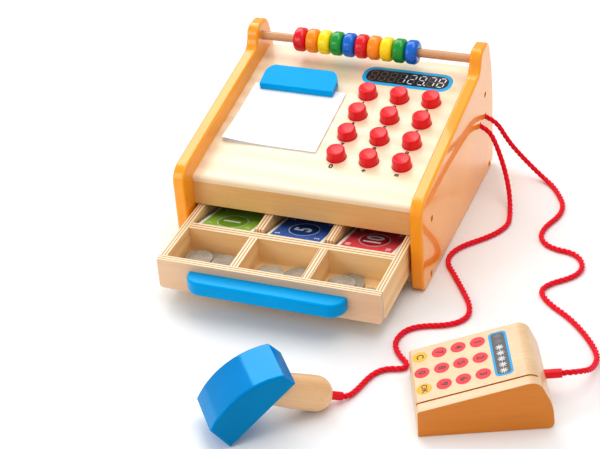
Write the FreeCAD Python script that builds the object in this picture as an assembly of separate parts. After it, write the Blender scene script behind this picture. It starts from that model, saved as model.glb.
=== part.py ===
import FreeCAD, Part
import math
import os

# Toy cash register in wood: sloping key deck between two side panels, abacus, note clip,
# money drawer (pulled out), hand scanner and card terminal on rope cords.
#
# Frame: millimetres, +X to the right of the person at the keys, +Y away from them, +Z up.
# Origin: middle of the register's footprint, on the plane that the register stands on.

V = FreeCAD.Vector

# ---- driving dimensions -------------------------------------------------------------
WIDTH = 250.0                 # over the two side panels
DEPTH = 246.0                 # side panel, front edge to rear edge
HEIGHT = 150.0                # top of the abacus horns
PANEL = 12.5                  # side panel thickness
SLOPE = 9.3                   # key deck, degrees
BOARD = 6.0                   # thin boards
BASE_BOARD = 12.0
DECK_TOP_FRONT = 81.5         # height of the deck's front edge
DECK_RUN = 217.0              # deck length along the slope
FRONT_BOARD_BOTTOM = 49.5

INNER = WIDTH / 2 - PANEL     # inner face of a side panel
Y_FRONT = -DEPTH / 2
Y_DECK = Y_FRONT + 19.5       # front face of the front board and of the deck
Y_BACK = Y_FRONT + 228.0      # inner face of the back panel

KEY_ROWS = (("0", "plus", "equals"), ("7", "8", "9"), ("4", "5", "6"), ("1", "2", "3"))
KEY_X = 16.7                  # first column
KEY_S = 54.6                  # first row, along the deck from its front edge
KEY_PITCH_X = 33.0
KEY_PITCH_S = 32.6
KEY_RADIUS = 9.5
KEY_TOP_RADIUS = 8.8
KEY_RISE = 10.0
KEY_HOLE_RADIUS = 10.0
KEY_FLANGE_RADIUS = 12.0
KEY_FLANGE_TOP = -BOARD - 0.3
KEY_FLANGE_BOTTOM = KEY_FLANGE_TOP - 2.0
KEY_PAD = 8.0                 # foam return pad under each key

ROD_Y = Y_FRONT + 215.8
ROD_Z = 135.2
ROD_RADIUS = 4.5
ROD_SOCKET = 6.0
BEAD_COUNT = 10
BEAD_RADIUS = 12.5
BEAD_PITCH = 13.33
BEAD_WIDTH = 13.0
BEAD_BORE = 4.9
BEAD_LEFT = -76.3             # left face of the first bead

CLIP_X = (-95.0, -16.5)
CLIP_PIN_S = 155.0
CLIP_PIN_H = 5.0
PAD_X = (-103.4, -5.0)
PAD_S = (55.3, 150.0)
PAD_THICK = 1.6

DRAWER_HALF = 110.0
DRAWER_FRONT = -200.4         # front face of the drawer as it stands open
DRAWER_DEPTH = 206.0
DRAWER_BOTTOM = 16.8
DRAWER_TOP = 49.0
DRAWER_WALL = 7.5
DIVIDER_X = 35.3
DIVIDER_THICK = 8.4
CROSS_Y = (-143.0, -134.0)
CROSS_LEDGE = 5.0
FLOOR_BOTTOM = 18.5
FLOOR_TOP = 22.0
DRAWER_BACK_WALL = 8.0
INSIDE_X = DRAWER_HALF - DRAWER_WALL
INSIDE_FRONT = DRAWER_FRONT + DRAWER_WALL
DRAWER_REAR = DRAWER_FRONT + DRAWER_DEPTH
INSIDE_REAR = DRAWER_REAR - DRAWER_BACK_WALL

HANDLE_HALF = 78.0
HANDLE_REACH = 17.0
HANDLE_Z = (26.7, 41.0)

COIN_THICK = 3.0
COIN_RADIUS = 13.5
NOTE_WIDTH = 57.0
NOTE_STACK = 1.6
NOTE_X = (-99.3, -28.5, 42.3)     # left edge of each stack

CORD_RADIUS = 2.5
SCANNER_HOLE = (Y_FRONT + 197.0, 72.0)
TERMINAL_HOLE = (Y_FRONT + 216.0, 72.0)
SCREW_PLACES = ((Y_FRONT + 29.8, 65.6), (Y_FRONT + 215.6, 96.5),
                (Y_FRONT + 24.2, 6.8), (Y_FRONT + 230.3, 6.4))
SCREW_HEAD = 3.2
SCREW_SHANK = 1.6
SCREW_SUNK = 2.6
SCREW_LENGTH = 24.0

TERMINAL_CORNER = V(179.9, -318.7, 0)
TERMINAL_TURN = 22.17         # degrees from +X to the terminal's length
TERMINAL_WIDTH = 84.0
TERMINAL_FRONT_HEIGHT = 26.3
TERMINAL_SLOPE = 13.8
SLOT_W = 11.5                 # card slot, from the near side face
SLOT_WIDTH = 1.8
SLOT_DEPTH = 5.0

SCANNER_FOOT = V(19.3, -356.6, 0)
SCANNER_TURN = 37.5           # degrees from +X to the plane of the head's profile
SCANNER_THICK = 48.0
HANDLE_ROOT = (41.0, 34.0)    # where the handle's axis enters the head
BALL = (82.2, 15.9)           # middle of the handle's domed end
BALL_RADIUS = 15.6
HANDLE_NECK = 14.0            # radius where the handle leaves the head
HANDLE_LET_IN = 6.0
FERRULE_RADIUS = 3.8

# Middle line of each cord, from the inner face of the right side panel to the ferrule.
SCANNER_ROUTE = (
    (112.5, 74, 72), (132, 74, 72), (146, 68, 48), (159, 54, 22), (167, 35, 2.6),
    (174, -4, 2.6), (122, -57, 2.6), (153, -101, 2.6), (178, -141, 2.6), (168, -165, 2.6),
    (129, -177, 2.6), (121, -202, 2.6), (131, -220, 2.6), (144, -230.5, 2.6),
    (142, -238.5, 2.6), (126, -242, 2.6), (117, -254, 2.6), (112.5, -275, 2.6))
TERMINAL_ROUTE = (
    (112.5, 93, 72), (133, 93, 72.5), (149, 95, 43), (166, 99, 21), (184, 99, 4),
    (201, 84, 2.6), (221, 46, 2.6), (203, 2, 2.6), (217, -22, 2.6), (251, -25, 2.6),
    (261, -57, 2.6), (226, -86, 2.6), (236, -107, 2.6), (269, -130, 2.6),
    (300, -170, 2.6), (302, -201, 10))
TERMINAL_LEAD = 17.4           # straight run into the terminal's ferrule
BEND_SHARE = 0.45             # part of the shorter run that a bend takes up


# ---- small tools --------------------------------------------------------------------
def box(x, y, z):
    """Block between two coordinates on each axis."""
    return Part.makeBox(x[1] - x[0], y[1] - y[0], z[1] - z[0], V(x[0], y[0], z[0]))


def in_xy(z):
    return lambda u, v: V(u, v, z)


def in_xz(y):
    return lambda u, v: V(u, y, v)


def in_yz(x):
    return lambda u, v: V(x, u, v)


def rounded_outline(corners, place):
    """Closed wire through (u, v, radius) corners, laid in a plane by place(u, v)."""
    stops = []
    for before, corner, after in zip(corners[-1:] + corners[:-1], corners, corners[1:] + corners[:1]):
        here = V(corner[0], corner[1], 0)
        to_before = (V(before[0], before[1], 0) - here).normalize()
        to_after = (V(after[0], after[1], 0) - here).normalize()
        half = to_before.getAngle(to_after) / 2
        radius = corner[2]
        reach = radius / math.tan(half)
        if radius == 0:
            stops.append((here, here, here))
            continue
        inward = (to_before + to_after).normalize()
        middle = here + inward * (radius / math.sin(half) - radius)
        stops.append((here + to_before * reach, middle, here + to_after * reach))
    edges = []
    for stop, following in zip(stops, stops[1:] + stops[:1]):
        start, middle, end = (place(p.x, p.y) for p in stop)
        if (end - start).Length > 1e-6:
            edges.append(Part.Arc(start, middle, end).toShape())
        onward = place(following[0].x, following[0].y)
        if (onward - end).Length > 1e-6:
            edges.append(Part.LineSegment(end, onward).toShape())
    return Part.Wire(edges)


def prism(corners, place, along):
    """Solid made by pushing a rounded outline along a vector."""
    return Part.Face(rounded_outline(corners, place)).extrude(along)


def turned(corners):
    """Solid of revolution about Z from (radius, height, corner radius) corners."""
    face = Part.Face(rounded_outline(corners, in_xz(0)))
    return face.revolve(V(0, 0, 0), V(0, 0, 1), 360)


def rod(radius, start, end):
    """Cylinder between two points."""
    return Part.makeCylinder(radius, (end - start).Length, start, end - start)


def softened(shape, radius, wanted):
    """The shape with the edges that wanted(edge) picks rounded over."""
    return shape.makeFillet(radius, [edge for edge in shape.Edges if wanted(edge)])


def rim_at(axis, value):
    """Picks edges that lie wholly in the plane axis = value."""
    def wanted(edge):
        ends = (getattr(edge.BoundBox, axis + "Min"), getattr(edge.BoundBox, axis + "Max"))
        return max(abs(end - value) for end in ends) < 1e-4
    return wanted


def moved(shape, placement):
    copy = shape.copy()
    copy.Placement = placement.multiply(copy.Placement)
    return copy


def save(name, solids):
    """Writes one sub-part, from one solid or a list of separate solids."""
    shape = Part.makeCompound(solids) if isinstance(solids, list) else solids
    assert shape.isValid(), name
    shape.exportStep("parts/" + name + ".step")


# ---- the deck's own frame: x across, s up the slope, h out of the surface ------------
TILT = math.radians(SLOPE)
DECK = FreeCAD.Placement(V(0, Y_DECK, DECK_TOP_FRONT), FreeCAD.Rotation(V(1, 0, 0), SLOPE))


def on_deck(shape):
    return moved(shape, DECK)


def deck_height(y, below=0.0):
    """Height of the deck's top at y, or of a parallel plane some way below it."""
    return DECK_TOP_FRONT + (y - Y_DECK) * math.tan(TILT) - below / math.cos(TILT)


# ---- register body ------------------------------------------------------------------
def panel_outline():
    """Side panel: sloping top edge, S-shaped rise to the horn, slightly bowed rear edge."""
    slope = math.tan(TILT)

    def top_edge(y):
        return 95.94 + y * slope

    corners = [(0, 0, 9), (0, top_edge(0), 17), (197.5, top_edge(197.5), 14), (204, HEIGHT, 11.5),
               (231.7, HEIGHT, 13), (241.3, 118.5, 120), (DEPTH, 85, 160), (DEPTH, 0, 12)]
    return [(Y_FRONT + y, z, radius) for y, z, radius in corners]


def side_panel(side, screws):
    """Panel on one side (-1 left, +1 right), with its rod socket, screw holes and cord holes."""
    panel = prism(panel_outline(), in_yz(side * INNER), V(side * PANEL, 0, 0))
    for face_x in (side * INNER, side * WIDTH / 2):
        panel = softened(panel, 2.5, rim_at("X", face_x))
    socket = rod(ROD_RADIUS, V(side * (INNER - 1), ROD_Y, ROD_Z), V(side * (INNER + ROD_SOCKET), ROD_Y, ROD_Z))
    panel = panel.cut(socket)
    outside = side * (WIDTH / 2 + 1)
    for y, z in SCREW_PLACES:
        panel = panel.cut(rod(SCREW_HEAD, V(side * (WIDTH / 2 - SCREW_SUNK - 2), y, z), V(outside, y, z)))
    panel = panel.cut(screws)
    if side > 0:
        for y, z in (SCANNER_HOLE, TERMINAL_HOLE):
            panel = panel.cut(rod(CORD_RADIUS + 0.3, V(INNER - 1, y, z), V(outside, y, z)))
    return panel


def panel_screw(side, y, z):
    """Cross-head screw, sunk in the panel's outer face, pointing inwards."""
    head_x = WIDTH / 2 - SCREW_SUNK
    head = rod(SCREW_HEAD, V(side * (head_x - 2), y, z), V(side * head_x, y, z))
    shank = rod(SCREW_SHANK, V(side * (head_x - SCREW_LENGTH), y, z), V(side * (head_x - 2), y, z))
    screw = head.fuse(shank)
    for half_y, half_z in ((1.9, 0.45), (0.45, 1.9)):
        across = sorted((side * (head_x - 1), side * (head_x + 1)))
        screw = screw.cut(box(across, (y - half_y, y + half_y), (z - half_z, z + half_z)))
    return screw.removeSplitter()


def deck_panel():
    """Sloping top board with the key holes; its front edge is rounded over the front board."""
    rear = Y_DECK + DECK_RUN * math.cos(TILT)
    corners = [(Y_DECK, deck_height(Y_DECK, BOARD), 0), (Y_DECK, DECK_TOP_FRONT, 4),
               (rear, deck_height(rear), 1), (rear, deck_height(rear, BOARD), 0)]
    panel = prism(corners, in_yz(-INNER), V(2 * INNER, 0, 0))
    for x, s, _ in key_places():
        panel = panel.cut(on_deck(rod(KEY_HOLE_RADIUS, V(x, s, -2 * BOARD), V(x, s, BOARD))))
    return panel


def upright_board(front, bottom):
    """Cross board between the side panels, reaching up to the deck's underside."""
    rear = front + BOARD
    corners = [(front, bottom, 0.8), (rear, bottom, 0.8),
               (rear, deck_height(rear, BOARD), 0), (front, deck_height(front, BOARD), 0)]
    return prism(corners, in_yz(-INNER), V(2 * INNER, 0, 0))


def bottom_board():
    return box((-INNER, INNER), (Y_FRONT + 14, Y_BACK + BOARD), (0, BASE_BOARD))


def key_board():
    """Hidden board under the keys that carries their foam pads."""
    top = KEY_FLANGE_BOTTOM - KEY_PAD
    return on_deck(box((-INNER, INNER), (35, 175), (top - 5, top)))


def corner_blocks():
    """Four glue blocks that take the upper screws."""
    front = ((Y_DECK + BOARD, Y_DECK + BOARD + 12), (58, 73))
    rear = ((Y_BACK - 20, Y_BACK), (89, 104))
    blocks = []
    for side in (-1, 1):
        for y, z in (front, rear):
            blocks.append(box(sorted((side * INNER, side * (INNER - 20))), y, z))
    return blocks


def drawer_runners():
    """Two rails that the drawer slides on."""
    span = (Y_FRONT + 16, Y_BACK - 2)
    rails = []
    for side in (-1, 1):
        rails.append(box(sorted((side * 92, side * 104)), span, (BASE_BOARD, DRAWER_BOTTOM - 0.3)))
    return rails


def stop_block():
    """Block on the bottom board that the drawer's rear tongue meets when pulled further out."""
    return box((-15, 15), (-60, -48), (BASE_BOARD, DRAWER_BOTTOM - 0.6))


def abacus_rod():
    reach = INNER + ROD_SOCKET
    return rod(ROD_RADIUS, V(-reach, ROD_Y, ROD_Z), V(reach, ROD_Y, ROD_Z))


def bead(index):
    """Turned ring with rounded edges, sliding on the abacus rod."""
    half = BEAD_WIDTH / 2
    corners = [(BEAD_BORE, -half, 0.6), (BEAD_RADIUS, -half, 4.5), (BEAD_RADIUS, half, 4.5), (BEAD_BORE, half, 0.6)]
    middle = BEAD_LEFT + BEAD_PITCH * (index + 0.5)
    across = FreeCAD.Placement(V(middle, ROD_Y, ROD_Z), FreeCAD.Rotation(V(0, 1, 0), 90))
    return moved(turned(corners), across)


def cord_knots():
    """Knot of each cord behind the right side panel."""
    corners = [(0, 0, 0), (5, 0, 2), (5, 9, 3.5), (0, 9, 0)]
    knots = []
    for y, z in (SCANNER_HOLE, TERMINAL_HOLE):
        inwards = FreeCAD.Placement(V(INNER, y, z), FreeCAD.Rotation(V(0, 1, 0), -90))
        knots.append(moved(turned(corners), inwards))
    return knots


# ---- keys ---------------------------------------------------------------------------
def key_places():
    """(x, s, name) of each key."""
    places = []
    for row, names in enumerate(KEY_ROWS):
        for column, name in enumerate(names):
            places.append((KEY_X + column * KEY_PITCH_X, KEY_S + row * KEY_PITCH_S, name))
    return places


def key(x, s):
    """Turned cap with a shallow dimple, and a flange that holds it under the deck."""
    corners = [(0, KEY_FLANGE_BOTTOM, 0), (KEY_FLANGE_RADIUS, KEY_FLANGE_BOTTOM, 0.4),
               (KEY_FLANGE_RADIUS, KEY_FLANGE_TOP, 0.4), (KEY_RADIUS, KEY_FLANGE_TOP, 0),
               (KEY_RADIUS, 0, 0), (KEY_TOP_RADIUS, KEY_RISE, 1.5), (0, KEY_RISE, 0)]
    dimple_radius = 40.0
    dimple = Part.makeSphere(dimple_radius, V(0, 0, KEY_RISE + dimple_radius - 0.7))
    cap = turned(corners).cut(dimple)
    return on_deck(moved(cap, FreeCAD.Placement(V(x, s, 0), FreeCAD.Rotation())))


def key_pads():
    """Foam pad under each key's flange, on the hidden board."""
    bottom = KEY_FLANGE_BOTTOM - KEY_PAD
    return [on_deck(rod(8, V(x, s, bottom), V(x, s, KEY_FLANGE_BOTTOM))) for x, s, _ in key_places()]


# ---- note pad and clip --------------------------------------------------------------
BRACKET_X = (-76.0, -36.0)
BRACKET_HALF = 3.0
EYE_HALF = 1.0
PIN_RADIUS = 1.5


def note_pad():
    return on_deck(box(PAD_X, PAD_S, (0, PAD_THICK)))


def clip_lever():
    """Rocking wooden clip: blunt front edge on the paper, rear edge raised to be pressed."""
    side = [(139, 2.0, 0.8), (140.2, 8.2, 1.2), (168.5, 12.6, 1.5), (169, 8.8, 1.2), (158, 2.0, 2.0)]
    lever = prism(side, in_yz(CLIP_X[0]), V(CLIP_X[1] - CLIP_X[0], 0, 0))
    plan = [(CLIP_X[0], 138, 3), (CLIP_X[1], 138, 3), (CLIP_X[1], 169, 14), (CLIP_X[0], 169, 14)]
    lever = lever.common(prism(plan, in_xy(0), V(0, 0, 20)))
    lever = lever.cut(rod(PIN_RADIUS + 0.05, clip_pin_end(0, -1), clip_pin_end(1, 1)))
    for x in BRACKET_X:
        notch = box((x - BRACKET_HALF - 0.4, x + BRACKET_HALF + 0.4), (149.5, 161), (0, CLIP_PIN_H + 3.4))
        lever = lever.cut(notch)
    spring_x = sum(CLIP_X) / 2
    lever = lever.cut(rod(3.6, V(spring_x, 162, 0), V(spring_x, 162, 6.2)))
    return on_deck(lever)


def clip_pin_end(end, beyond=0.0):
    """End of the clip's pin, a little inside the lever, in the deck's frame."""
    inset = 2.5 if beyond == 0 else -1
    x = CLIP_X[0] + inset if end == 0 else CLIP_X[1] - inset
    return V(x, CLIP_PIN_S, CLIP_PIN_H)


def clip_pin():
    return on_deck(rod(PIN_RADIUS, clip_pin_end(0), clip_pin_end(1)))


def clip_bracket():
    """Two small steel eyes on the deck that carry the pin."""
    eyes = []
    for x in BRACKET_X:
        foot = box((x - BRACKET_HALF, x + BRACKET_HALF), (150.5, 159.5), (0, 0.8))
        corners = [(151, 0.4, 0), (159, 0.4, 0), (157.9, CLIP_PIN_H + 2.8, 2.6), (152.1, CLIP_PIN_H + 2.8, 2.6)]
        ear = prism(corners, in_yz(x - EYE_HALF), V(2 * EYE_HALF, 0, 0))
        eye = foot.fuse(ear).cut(rod(PIN_RADIUS, clip_pin_end(0), clip_pin_end(1)))
        eyes.append(on_deck(eye.removeSplitter()))
    return eyes


def clip_spring():
    """Coil spring between the deck and the lever's rear part."""
    coil_radius = 2.6
    wire_radius = 0.4
    helix = Part.makeHelix(1.5, 5.0, coil_radius)
    profile = Part.Wire([Part.makeCircle(wire_radius, V(coil_radius, 0, 0), V(0, 1, 0))])
    coil = Part.Wire(helix.Edges).makePipeShell([profile], True, True)
    place = FreeCAD.Placement(V(sum(CLIP_X) / 2, 162, 0.5), FreeCAD.Rotation())
    return on_deck(moved(coil, place))


# ---- drawer -------------------------------------------------------------------------
def drawer_front():
    """Front wall, its lower corners eased, with two screw holes for the handle."""
    corners = [(-DRAWER_HALF, DRAWER_BOTTOM, 4), (DRAWER_HALF, DRAWER_BOTTOM, 4),
               (DRAWER_HALF, DRAWER_TOP, 1), (-DRAWER_HALF, DRAWER_TOP, 1)]
    wall = prism(corners, in_xz(DRAWER_FRONT), V(0, DRAWER_WALL, 0))
    return wall.cut(Part.makeCompound(handle_screws()))


def drawer_side(side):
    across = sorted((side * INSIDE_X, side * DRAWER_HALF))
    wall = box(across, (INSIDE_FRONT, DRAWER_REAR), (DRAWER_BOTTOM, DRAWER_TOP))
    return softened(wall, 0.8, rim_at("Z", DRAWER_TOP))


def drawer_back():
    """Rear wall with a short tongue that meets the stop block."""
    wall = box((-INSIDE_X, INSIDE_X), (INSIDE_REAR, DRAWER_REAR), (DRAWER_BOTTOM, DRAWER_TOP))
    tongue = box((-20, 20), (INSIDE_REAR, DRAWER_REAR), (BASE_BOARD + 0.6, DRAWER_BOTTOM))
    return wall.fuse(tongue).removeSplitter()


def drawer_bottom():
    return box((-INSIDE_X, INSIDE_X), (INSIDE_FRONT, INSIDE_REAR), (FLOOR_BOTTOM, FLOOR_TOP))


def cross_divider():
    """Wall across the drawer, with a ledge at its rear that props the banknotes up."""
    wall = box((-INSIDE_X, INSIDE_X), CROSS_Y, (FLOOR_TOP, DRAWER_TOP - 0.5))
    ledge = box((-INSIDE_X, INSIDE_X), (CROSS_Y[1], CROSS_Y[1] + CROSS_LEDGE), (FLOOR_TOP, 41.5))
    return wall.fuse(ledge).removeSplitter()


def short_dividers():
    """Walls between the three coin bins and between the three banknote bins."""
    walls = []
    for x in (-DIVIDER_X, DIVIDER_X):
        across = (x - DIVIDER_THICK / 2, x + DIVIDER_THICK / 2)
        for span in ((INSIDE_FRONT, CROSS_Y[0]), (CROSS_Y[1] + CROSS_LEDGE, INSIDE_REAR)):
            walls.append(box(across, span, (FLOOR_TOP, DRAWER_TOP - 0.5)))
    return walls


def drawer_handle():
    """D-shaped bar on the front wall."""
    rear = DRAWER_FRONT
    corners = [(-HANDLE_HALF, rear, 0), (-HANDLE_HALF, rear - HANDLE_REACH, 15.5),
               (HANDLE_HALF, rear - HANDLE_REACH, 15.5), (HANDLE_HALF, rear, 0)]
    bar = prism(corners, in_xy(HANDLE_Z[0]), V(0, 0, HANDLE_Z[1] - HANDLE_Z[0]))
    for z in HANDLE_Z:
        bar = softened(bar, 2.5, lambda edge, z=z: rim_at("Z", z)(edge) and edge.BoundBox.YMin < rear - 0.1)
    return bar.cut(Part.makeCompound(handle_screws()))


def handle_screws():
    """Screws through the front wall into the handle, heads inside the coin bins."""
    middle_z = sum(HANDLE_Z) / 2
    screws = []
    for x in (-50, 50):
        head = rod(3.5, V(x, INSIDE_FRONT, middle_z), V(x, INSIDE_FRONT + 2, middle_z))
        shank = rod(1.75, V(x, DRAWER_FRONT - 10, middle_z), V(x, INSIDE_FRONT, middle_z))
        screws.append(softened(head, 0.8, rim_at("Y", INSIDE_FRONT + 2)).fuse(shank).removeSplitter())
    return screws


def coin(x, y, z, radius=COIN_RADIUS):
    """Coin blank with a raised rim on both faces."""
    corners = [(0, 0.4, 0), (radius - 2.2, 0.4, 0), (radius - 1.8, 0, 0), (radius, 0, 0.5),
               (radius, COIN_THICK, 0.5), (radius - 1.8, COIN_THICK, 0), (radius - 2.2, COIN_THICK - 0.4, 0),
               (0, COIN_THICK - 0.4, 0)]
    return moved(turned(corners), FreeCAD.Placement(V(x, y, z), FreeCAD.Rotation()))


def coins():
    """Three coins in each coin bin, the upper ones lying on the lower."""
    upper = FLOOR_TOP + COIN_THICK
    places = ((-86.5, -161, upper), (-58.5, -162, upper), (-73, -158, FLOOR_TOP),
              (-11, -166.5, upper), (13.6, -159, FLOOR_TOP), (-14.8, -163.5, FLOOR_TOP),
              (58.5, -164, upper), (65, -156.8, FLOOR_TOP), (87.5, -172, FLOOR_TOP))
    return [coin(*place) for place in places]


def banknotes():
    """Three stacks of notes, steep behind the cross divider and then flat on the floor."""
    steep = math.radians(15)
    near = (CROSS_Y[1] + 3, 43.4)
    knee = (near[0] + 78 * math.cos(steep), near[1] - 78 * math.sin(steep))
    far = (knee[0] + 44, FLOOR_TOP + 0.1)
    under = [near, knee, far]
    lift = NOTE_STACK
    radii = (0, 150, 0)
    corners = [(y, z, r) for (y, z), r in zip(under, radii)]
    corners += [(y, z + lift, r) for (y, z), r in zip(reversed(under), radii)]
    return [prism(corners, in_yz(x), V(NOTE_WIDTH, 0, 0)) for x in NOTE_X]


# ---- scanner ------------------------------------------------------------------------
SCANNER = FreeCAD.Placement(SCANNER_FOOT, FreeCAD.Rotation(V(0, 0, 1), SCANNER_TURN))
HANDLE_LINE = V(BALL[0] - HANDLE_ROOT[0], 0, BALL[1] - HANDLE_ROOT[1])
HANDLE_AXIS = HANDLE_LINE.normalize()
FERRULE_START = V(BALL[0], 0, BALL[1]) + HANDLE_AXIS * (BALL_RADIUS - 2)
FERRULE_LENGTH = 12.6
FERRULE_END = FERRULE_START + HANDLE_AXIS * FERRULE_LENGTH


def scanner_profile():
    """Face of the head in its own plane: straight chord, two short sides and an arc."""
    chord_low = V(0, 0, 0)
    chord_high = V(60.8, 0, 50.2)
    top = V(51.1, 0, 62.0)
    crown = V(9.8, 0, 50.0)
    low = V(-15.3, 0, 22.1)
    return Part.Wire([Part.LineSegment(chord_low, chord_high).toShape(),
                      Part.LineSegment(chord_high, top).toShape(),
                      Part.Arc(top, crown, low).toShape(),
                      Part.LineSegment(low, chord_low).toShape()])


def scanner_handle_tool():
    """Turned handle let into the head, swelling a little towards its domed end."""
    reach = (V(BALL[0], 0, BALL[1]) - V(HANDLE_ROOT[0], 0, HANDLE_ROOT[1])).Length
    diagonal = BALL_RADIUS * math.sin(math.pi / 4)
    tip = V(0, 0, reach + BALL_RADIUS)
    edges = [Part.LineSegment(V(0, 0, HANDLE_LET_IN), V(HANDLE_NECK, 0, HANDLE_LET_IN)).toShape(),
             Part.Arc(V(HANDLE_NECK, 0, HANDLE_LET_IN), V(HANDLE_NECK + 1.1, 0, reach / 2),
                      V(BALL_RADIUS, 0, reach)).toShape(),
             Part.Arc(V(BALL_RADIUS, 0, reach), V(diagonal, 0, reach + diagonal), tip).toShape(),
             Part.LineSegment(tip, V(0, 0, HANDLE_LET_IN)).toShape()]
    solid = Part.Face(Part.Wire(edges)).revolve(V(0, 0, 0), V(0, 0, 1), 360)
    turn = FreeCAD.Rotation(V(0, 0, 1), HANDLE_AXIS)
    return moved(solid, FreeCAD.Placement(V(HANDLE_ROOT[0], 0, HANDLE_ROOT[1]), turn))


def scanner_head():
    head = Part.Face(scanner_profile()).extrude(V(0, SCANNER_THICK, 0))
    head.translate(V(0, -SCANNER_THICK / 2, 0))
    for face_y in (-SCANNER_THICK / 2, SCANNER_THICK / 2):
        head = softened(head, 2.0, rim_at("Y", face_y))
    return moved(head.cut(scanner_handle_tool()), SCANNER)


def scanner_handle():
    hole = rod(FERRULE_RADIUS, FERRULE_START, FERRULE_END)
    return moved(scanner_handle_tool().cut(hole), SCANNER)


def scanner_ferrule():
    sleeve = rod(FERRULE_RADIUS, FERRULE_START, FERRULE_END)
    return moved(sleeve, SCANNER)


# ---- card terminal ------------------------------------------------------------------
TERMINAL = FreeCAD.Placement(TERMINAL_CORNER, FreeCAD.Rotation(V(0, 0, 1), TERMINAL_TURN))
TERMINAL_FERRULE_W = 41.5
TERMINAL_FERRULE_Z = 24.5
TERMINAL_FERRULE_S = (106.0, 126.0)
TERMINAL_FERRULE_RADIUS = 4.0


def terminal_body():
    """Wedge-shaped block with a rounded high end and a card slot along its top."""
    rise = math.tan(math.radians(TERMINAL_SLOPE))

    def top(s):
        return TERMINAL_FRONT_HEIGHT + s * rise

    high_s = 100.6
    profile = [(0, 0, 1), (0, top(0), 2.5), (high_s, top(high_s), 11), (112.8, 24, 50), (114.6, 0, 6)]
    body = prism(profile, in_xz(0), V(0, TERMINAL_WIDTH, 0))
    for face_y in (0, TERMINAL_WIDTH):
        body = softened(body, 1.0, rim_at("Y", face_y))
    cut_w = (SLOT_W - SLOT_WIDTH / 2, SLOT_W + SLOT_WIDTH / 2)
    slot = [(-5, top(-5) - SLOT_DEPTH, 0), (130, top(130) - SLOT_DEPTH, 0), (130, 90, 0), (-5, 90, 0)]
    body = body.cut(prism(slot, in_xz(cut_w[0]), V(0, SLOT_WIDTH, 0)))
    return moved(body.cut(terminal_ferrule_tool()), TERMINAL)


def terminal_ferrule_tool():
    ends = [V(s, TERMINAL_FERRULE_W, TERMINAL_FERRULE_Z) for s in TERMINAL_FERRULE_S]
    return rod(TERMINAL_FERRULE_RADIUS, ends[0], ends[1])


def terminal_ferrule():
    return moved(terminal_ferrule_tool(), TERMINAL)


# ---- cords --------------------------------------------------------------------------
def cord(name, points):
    """Round tube along straight runs joined by tangent arcs; prints its bends and length."""
    points = [V(*point) for point in points]
    edges = []
    length = 0.0
    bends = []
    at = points[0]
    for before, here, after in zip(points, points[1:], points[2:]):
        to_before = before - here
        to_after = after - here
        reach = BEND_SHARE * min(to_before.Length, to_after.Length)
        half_turn = (math.pi - to_before.getAngle(to_after)) / 2
        radius = reach / math.tan(half_turn)
        start = here + to_before.normalize() * reach
        end = here + to_after.normalize() * reach
        inward = (to_before + to_after).normalize()
        middle = here + inward * (radius / math.cos(half_turn) - radius)
        edges.append(Part.LineSegment(at, start).toShape())
        edges.append(Part.Arc(start, middle, end).toShape())
        bends.append(round(radius, 1))
        length += (start - at).Length + 2 * half_turn * radius
        at = end
    edges.append(Part.LineSegment(at, points[-1]).toShape())
    length += (points[-1] - at).Length
    section = Part.Wire([Part.makeCircle(CORD_RADIUS, points[0], points[1] - points[0])])
    tube = Part.Wire(edges).makePipeShell([section], True, True)
    expected = math.pi * CORD_RADIUS ** 2 * length
    print(name, "length", round(length, 1), "bend radii", bends, "volume ratio", round(tube.Volume / expected, 4))
    return tube


def scanner_cord():
    end = SCANNER.multVec(FERRULE_END)
    before = SCANNER.multVec(FERRULE_END + HANDLE_AXIS * 6)
    lead = (before.x, before.y, max(before.z, CORD_RADIUS + 0.1))
    return cord("scanner_cord", SCANNER_ROUTE + (lead, (end.x, end.y, end.z)))


def terminal_cord():
    end = TERMINAL.multVec(V(TERMINAL_FERRULE_S[1], TERMINAL_FERRULE_W, TERMINAL_FERRULE_Z))
    lead = TERMINAL.multVec(V(TERMINAL_FERRULE_S[1] + TERMINAL_LEAD, TERMINAL_FERRULE_W, TERMINAL_FERRULE_Z))
    return cord("terminal_cord", TERMINAL_ROUTE + ((lead.x, lead.y, lead.z), (end.x, end.y, end.z)))


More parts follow.
